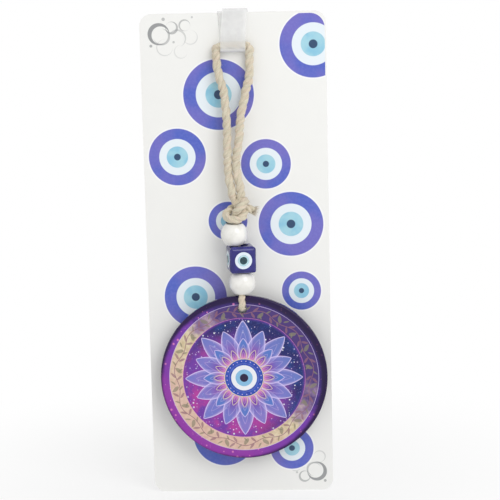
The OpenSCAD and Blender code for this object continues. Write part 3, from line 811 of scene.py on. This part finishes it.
def sectorGroup():
    # How far a point is out from the middle, and how far beside the middle line of its own sector.
    tree, given, wanted = newGroup("discSector", [("Place", "Vector"), ("Count", "Float"), ("Turn", "Float")],
                                   [("Out", "Float"), ("Beside", "Float")])
    x, y, _ = apart(tree, given["Place"])
    out = vectors(tree, "LENGTH", given["Place"])
    angle = maths(tree, "DIVIDE", maths(tree, "ARCTAN2", y, x), 2 * math.pi)
    sector = maths(tree, "MULTIPLY_ADD", angle, given["Count"], given["Turn"])
    share = minus(tree, maths(tree, "FRACT", maths(tree, "ADD", sector, 400.0)), 0.5)
    width = maths(tree, "DIVIDE", times(tree, out, 2 * math.pi), given["Count"])
    feedAll(tree, wanted, Out=out, Beside=maths(tree, "ABSOLUTE", times(tree, share, width)))
    return tree


discSector = sectorGroup()


def petalGroup():
    # A petal's half width is Width * 2.3 * share out ^ 0.7 * share left ^ 0.95: a round heel, a pointed tip.
    # Depth is 0 on its edge and 1 on its middle line.
    tree, given, wanted = newGroup(
        "discPetals", [("Place", "Vector"), ("Count", "Float"), ("Turn", "Float"), ("Inner", "Float"),
                       ("Outer", "Float"), ("Width", "Float"), ("Line", "Float")],
        [("Fill", "Float"), ("Line", "Float"), ("Share", "Float"), ("Depth", "Float")])
    sector = useGroup(tree, discSector, {key: given[key] for key in ("Place", "Count", "Turn")})
    span = minus(tree, given["Outer"], given["Inner"])
    gone = minus(tree, sector["Out"], given["Inner"])
    share = node(tree, "Clamp", {0: maths(tree, "DIVIDE", gone, span)})
    left = minus(tree, 1.0, share)
    half = times(tree, maths(tree, "POWER", share, 0.7), maths(tree, "POWER", left, 0.95))
    half = times(tree, times(tree, half, 2.3), given["Width"])
    room = minus(tree, half, sector["Beside"])
    there = maths(tree, "GREATER_THAN", half, 0.02)
    fill = times(tree, ease(tree, room, -0.06, 0.06), there)
    lineTo = maths(tree, "MULTIPLY_ADD", given["Line"], 1.6, 0.16)
    line = minus(tree, 1.0, ease(tree, maths(tree, "ABSOLUTE", room), given["Line"], lineTo))
    depth = maths(tree, "DIVIDE", room, maths(tree, "ADD", half, 0.01))
    feedAll(tree, wanted, Fill=fill, Line=times(tree, line, there), Share=share,
            Depth=node(tree, "Clamp", {0: depth}))
    return tree


def dotGroup():  # a ring of round dots
    tree, given, wanted = newGroup("discDots", [("Place", "Vector"), ("Count", "Float"), ("Turn", "Float"),
                                                ("Radius", "Float"), ("Size", "Float")], [("Fill", "Float")])
    sector = useGroup(tree, discSector, {key: given[key] for key in ("Place", "Count", "Turn")})
    up = minus(tree, sector["Out"], given["Radius"])
    far = maths(tree, "ADD", times(tree, up, up), times(tree, sector["Beside"], sector["Beside"]))
    far = maths(tree, "SQRT", far)
    feed(tree, wanted["Fill"], ease(tree, minus(tree, given["Size"], far), -0.07, 0.07))
    return tree


def starGroup():
    # Scattered dots, one in each cell, whose size is the fifth power of the cell's own number: few are large.
    tree, given, wanted = newGroup("discStars", [("Place", "Vector"), ("Scale", "Float"), ("Size", "Float")],
                                   [("Fill", "Float")])
    away = node(tree, "TexVoronoi", {"Vector": given["Place"], "Scale": given["Scale"]}, "Distance",
                voronoi_dimensions="2D")
    own = apart(tree, away.node.outputs["Color"])[0]
    size = times(tree, maths(tree, "POWER", own, 5.0), given["Size"])
    feed(tree, wanted["Fill"], ease(tree, away, size, times(tree, size, 0.35)))
    return tree


discPetals, discDots, discStars = petalGroup(), dotGroup(), starGroup()

discColours = {
    "navy": (0.010, 0.014, 0.125), "deep": (0.030, 0.010, 0.135), "blue": (0.006, 0.056, 0.260),
    "violet": (0.170, 0.040, 0.380), "magenta": (0.480, 0.045, 0.340), "pink": (0.720, 0.220, 0.500),
    "azure": (0.080, 0.190, 0.560), "periwinkle": (0.185, 0.240, 0.640), "lilac": (0.680, 0.570, 0.900),
    "cream": (0.600, 0.490, 0.300), "creamLight": (0.740, 0.640, 0.440), "creamRosy": (0.720, 0.380, 0.400),
    "sky": (0.240, 0.500, 0.740), "white": (0.840, 0.850, 0.890), "rim": (0.016, 0.007, 0.045),
    "eyeLow": (0.018, 0.045, 0.360), "eyeHigh": (0.040, 0.100, 0.500), "dusk": (0.034, 0.010, 0.160),
    "stalk": (0.270, 0.120, 0.170), "leaf": (0.230, 0.210, 0.140),
}
starLayers = [            # cells per mm, size, strength, colour
    (0.42, 0.26, 0.95, "white"), (0.80, 0.34, 0.8, "lilac"), (1.9, 0.42, 0.35, "periwinkle"),
]
# Count, turn, inner, outer, width, line, heel colour, tip colour, strength, edge colour
petalRings = [
    (8, 0.5, 8.6, 24.6, 4.9, 0.08, "azure", "periwinkle", 0.74, "lilac"),
    (8, 0.0, 8.0, 21.6, 4.7, 0.08, "violet", "periwinkle", 0.74, "lilac"),
    (8, 0.5, 7.4, 17.0, 3.5, 0.07, "magenta", "azure", 0.80, "lilac"),
    (16, 0.5, 7.4, 12.8, 1.7, 0.05, "pink", "violet", 0.85, "creamLight"),
]
vineLeaves = [            # count, turn, lean, inner, outer, width, colour
    (11, 0.25, 0.03, 26.2, 29.2, 1.25, "leaf"), (11, 0.75, -0.03, 27.7, 30.8, 1.25, "leaf"),
    (22, 0.56, 0.09, 28.5, 30.9, 0.85, "stalk"), (22, 0.44, -0.09, 26.0, 28.3, 0.85, "stalk"),
    (22, 0.16, 0.09, 28.9, 30.9, 0.60, "leaf"), (22, 0.84, -0.09, 26.0, 27.9, 0.60, "leaf"),
]


def discPrintMaterial():
    material, tree, shader = newMaterial("discPrint", Coat_Roughness=0.03, Coat_IOR=1.5,
                                         Specular_IOR_Level=0.12)
    c = discColours
    place = vectors(tree, "MULTIPLY", objectPlace(tree, disc["middle"]), (1000, 1000, 1000))
    x, _, z = apart(tree, place)
    flat = node(tree, "CombineXYZ", {"X": x, "Y": z})
    out = vectors(tree, "LENGTH", flat)
    rosy = vectors(tree, "DOT_PRODUCT", flat, disc["rosyWay"])

    def inside(radius, soft=0.06):
        return ease(tree, out, radius + soft, radius - soft)

    def ring(radius, half, soft=0.06):
        away = maths(tree, "ABSOLUTE", minus(tree, out, radius))
        return ease(tree, away, half + soft, max(half - soft, 0.0))

    def stars(colour, scale, size, strength, tint):
        dots = useGroup(tree, discStars, {"Place": flat, "Scale": scale, "Size": size})
        return mixColour(tree, times(tree, dots["Fill"], strength), colour, c[tint])

    # Night sky, bluer up to the right and rosy down to the left, with a glow behind the petals
    cloud = noise(tree, flat, 0.085, 5.0, 0.6)
    wisps = noise(tree, vectors(tree, "ADD", flat, (31, 17, 5)), 0.14, 6.0, 0.62)
    rosyCloud = maths(tree, "ADD", wisps, rosy)
    sky = mixColour(tree, ease(tree, cloud, 0.40, 0.62), c["navy"], c["blue"])
    sky = mixColour(tree, ease(tree, wisps, 0.44, 0.70), sky, c["deep"])
    glow = mixColour(tree, ease(tree, wisps, 0.36, 0.62), c["magenta"], c["violet"])
    near = maths(tree, "MULTIPLY_ADD", rosyCloud, 14.0, -6.0)
    nearness = ease(tree, minus(tree, out, near), 26.5, 15.0)
    colour = mixColour(tree, times(tree, nearness, 0.92), sky, glow)
    for layer in starLayers:
        colour = stars(colour, *layer)

    for count, turn, inner, outer, width, line, heel, tip, strength, edge in petalRings:
        shape = {"Place": flat, "Count": count, "Turn": turn}
        petals = useGroup(tree, discPetals, {**shape, "Inner": inner, "Outer": outer, "Width": width,
                                             "Line": line})
        body = mixColour(tree, ease(tree, petals["Share"], 0.05, 0.75), c[heel], c[tip])
        body = mixColour(tree, ease(tree, petals["Depth"], 0.42, 0.0, 0, 0.55), body, c[edge])
        body = mixColour(tree, ease(tree, petals["Share"], 0.30, 0.0, 0, 0.50), body, c["pink"])
        veins = useGroup(tree, discPetals, {**shape, "Inner": inner + 1.0, "Width": width * 0.40,
                                            "Outer": outer - (outer - inner) * 0.28, "Line": line * 0.4})
        body = mixColour(tree, times(tree, veins["Line"], 0.45), body, c["lilac"])
        colour = mixColour(tree, times(tree, petals["Fill"], strength), colour, body)
        colour = mixColour(tree, times(tree, petals["Line"], 0.9), colour, c[edge])

    # The cream band, with a vine whose middle line is r = vine + sin(waves * angle)
    aged = noise(tree, flat, 0.5, 4.0, 0.6)
    band = mixColour(tree, ease(tree, aged, 0.36, 0.66), c["cream"], c["creamLight"])
    band = mixColour(tree, ease(tree, rosyCloud, 0.55, 1.15, 0, 0.45), band, c["creamRosy"])
    band = mixColour(tree, ease(tree, rosyCloud, 0.56, 0.26, 0, 0.60), band, c["violet"])
    band = mixColour(tree, ease(tree, rosyCloud, 0.40, 0.02, 0, 0.90), band, c["dusk"])
    wave = maths(tree, "SINE", times(tree, maths(tree, "ARCTAN2", z, x), disc["vineWaves"]))
    offVine = maths(tree, "ABSOLUTE", minus(tree, minus(tree, out, wave), disc["vine"]))
    for count, turn, lean, inner, outer, width, tint in vineLeaves:
        leaning = maths(tree, "MULTIPLY_ADD", out, lean, turn - lean * disc["vine"])
        leaves = useGroup(tree, discPetals, {"Place": flat, "Count": count, "Turn": leaning, "Inner": inner,
                                             "Outer": outer, "Width": width, "Line": 0.02})
        band = mixColour(tree, times(tree, leaves["Fill"], 0.70), band, c[tint])
    band = mixColour(tree, ease(tree, offVine, 0.24, 0.08, 0, 0.8), band, c["stalk"])
    inner, outer = disc["band"], disc["bandTo"]
    colour = mixColour(tree, ease(tree, out, inner - 1.3, inner, 0, 0.55), colour, c["violet"])
    colour = mixColour(tree, ease(tree, out, inner - 0.08, inner + 0.08), colour, band)
    colour = mixColour(tree, ring(inner, 0.06), colour, c["pink"])

    # Glowing edge, then the dark rim
    edgeGlow = mixColour(tree, ease(tree, rosyCloud, 0.62, 1.30, 0, 0.36), c["violet"], c["magenta"])
    edgeGlow = mixColour(tree, ease(tree, rosyCloud, 0.45, 0.10, 0, 0.8), edgeGlow, c["navy"])
    edgeGlow = stars(edgeGlow, 0.55, 0.40, 0.9, "pink")
    colour = mixColour(tree, ease(tree, out, outer - 0.1, outer + 0.1), colour, edgeGlow)
    colour = mixColour(tree, ring(outer, 0.07), colour, c["lilac"])
    darkFrom = maths(tree, "MULTIPLY_ADD", rosyCloud, 1.6, disc["darkFrom"])
    dark = ease(tree, minus(tree, out, darkFrom), 0.0, 1.6)
    colour = mixColour(tree, times(tree, dark, 0.92), colour, c["rim"])

    # The eye in the middle
    blue = mixColour(tree, ease(tree, aged, 0.3, 0.7), c["eyeLow"], c["eyeHigh"])
    for radius, tint in ((8.3, c["creamLight"]), (8.0, blue), (5.4, c["white"]), (3.6, c["sky"]),
                         (1.75, c["rim"])):
        colour = mixColour(tree, inside(radius), colour, tint)
    dots = useGroup(tree, discDots, {"Place": flat, "Count": disc["dots"], "Turn": 0.0,
                                     "Radius": disc["dotsAt"], "Size": disc["dotSize"]})
    colour = mixColour(tree, dots["Fill"], colour, c["lilac"])
    colour = mixColour(tree, ring(disc["dotLine"], 0.05), colour, c["periwinkle"])

    fine = noise(tree, flat, 2.2, 2.0, 0.5)
    slow = noise(tree, flat, 0.12, 2.0, 0.4)
    feedAll(tree, shader.inputs, Base_Color=colour, Roughness=ease(tree, fine, 0.3, 0.7, 0.16, 0.26),
            Coat_Weight=ease(tree, out, 31.0, disc["rimTo"], 0.45, 0.15),
            Normal=bump(tree, slow, 0.05, 0.0004))
    return material


dress("disc_gloss", discPrintMaterial())
dress("disc_picture", glazedMaterial("printEdge", (0.10, 0.02, 0.16), (0.24, 0.05, 0.30), 500.0))
dress("disc_blank", glazedMaterial("discBlank", (0.018, 0.010, 0.075), (0.040, 0.022, 0.130), 120.0))
print("Disc printed")


# Floor, background and light
studio = {
    "floorZ": -0.1018, "floorSize": 12.0, "worldLevel": 0.64,
    "clearNear": 0.5, "clearFrom": 0.05, "clearTo": 0.22,    # of white at the object, then m out from it
    "keyPlace": (0.48, -0.66, 0.60), "keySize": 0.62, "keyPower": 4.4,
    "fillPlace": (-0.9, -0.7, 0.35), "fillSize": 0.9, "fillPower": 0.5,
}


def cameraOrMirror(tree):  # 1 for rays from the camera, or that reach it off gloss or through glass
    path = node(tree, "LightPath").node.outputs
    seen = maths(tree, "MAXIMUM", path["Is Camera Ray"], path["Is Glossy Ray"])
    return maths(tree, "MAXIMUM", seen, path["Is Transmission Ray"])


def makeFloor():
    material, tree, shader = newMaterial("paleFloor", Specular_IOR_Level=0.2)
    place = objectPlace(tree)
    grain = noise(tree, place, 140.0, 3.0, 0.6)
    colour = mixColour(tree, ease(tree, grain, 0.3, 0.7, 0, 0.2), (0.93, 0.93, 0.93), (0.90, 0.90, 0.90))
    feedAll(tree, shader.inputs, Base_Color=colour, Roughness=ease(tree, grain, 0.3, 0.7, 0.55, 0.7))
    white = tree.nodes.new("ShaderNodeEmission")
    blend = tree.nodes.new("ShaderNodeMixShader")
    away = vectors(tree, "LENGTH", place)
    clear = ease(tree, away, studio["clearFrom"], studio["clearTo"], studio["clearNear"], 1.0)
    feed(tree, blend.inputs[0], times(tree, clear, cameraOrMirror(tree)))
    tree.links.new(shader.outputs[0], blend.inputs[1])
    tree.links.new(white.outputs[0], blend.inputs[2])
    tree.links.new(blend.outputs[0], tree.nodes["Material Output"].inputs["Surface"])
    half = studio["floorSize"] / 2
    corners = [(x * half, y * half, studio["floorZ"]) for x, y in ((-1, -1), (1, -1), (1, 1), (-1, 1))]
    floor = makeObject("floor", corners, [(0, 1, 2, 3)], material, None, smooth=False)


def makeLamp(name, place, size, power):
    data = bpy.data.lights.new(name, "AREA")
    data.size, data.energy = size, power
    lamp = bpy.data.objects.new(name, data)
    lamp.location = place
    lamp.rotation_euler = (Vector((0, 0, 0)) - Vector(place)).to_track_quat("-Z", "Y").to_euler()
    bpy.context.scene.collection.objects.link(lamp)


def lightStudio():
    world = bpy.data.worlds.new("studio")
    bpy.context.scene.world = world
    world.use_nodes = True
    tree = world.node_tree
    level = studio["worldLevel"]
    strength = maths(tree, "MULTIPLY_ADD", cameraOrMirror(tree), 1 - level, level)
    feedAll(tree, tree.nodes["Background"].inputs, Color=(1, 1, 1), Strength=strength)
    makeLamp("keyLamp", studio["keyPlace"], studio["keySize"], studio["keyPower"])
    makeLamp("fillLamp", studio["fillPlace"], studio["fillSize"], studio["fillPower"])
    bpy.context.scene.view_settings.view_transform = "Standard"


makeFloor()
lightStudio()
print("Studio lit")


# Where each thing shows in the image, in pixels, gathered under its image point's name
def shownPixels(names):
    found = []
    for name in names:
        piece = bpy.data.objects[name]
        co = np.empty(len(piece.data.vertices) * 3)
        piece.data.vertices.foreach_get("co", co)
        found.append(pixelsOf(co.reshape(-1, 3)))
    return np.vstack(found)


def middleOf(pixels, cut=0.0):
    low, high = np.quantile(pixels, cut, axis=0), np.quantile(pixels, 1 - cut, axis=0)
    return (low + high) / 2


def writePoints():
    solid = [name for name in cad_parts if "twine" not in name and name != "loop_knot"]
    everything = shownPixels(solid)
    gloss = shownPixels(["disc_gloss"])
    hole = pixelsOf([(stem["x"], disc["front"], stem["hole"])])[0]
    nearHole = gloss[np.linalg.norm(gloss - hole, axis=1) < disc["holePixels"]]
    shown = {
        "objectLeft": (everything[:, 0].min(), None), "objectRight": (everything[:, 0].max(), None),
        "objectTop": (None, everything[:, 1].min()), "objectBottom": (None, everything[:, 1].max()),
        "knot": middleOf(shownPixels(["knotTwine"]), 0.02),
        "cubeEye": middleOf(shownPixels(["eye_white_front"])),
        "disc": middleOf(shownPixels(["disc_gloss", "disc_blank"])), "discHole": middleOf(nearHole),
    }
    for name, middle in {**eyeMiddles, **curlMiddles}.items():
        shown[name] = pixelsOf([middle])[0]


writePoints()
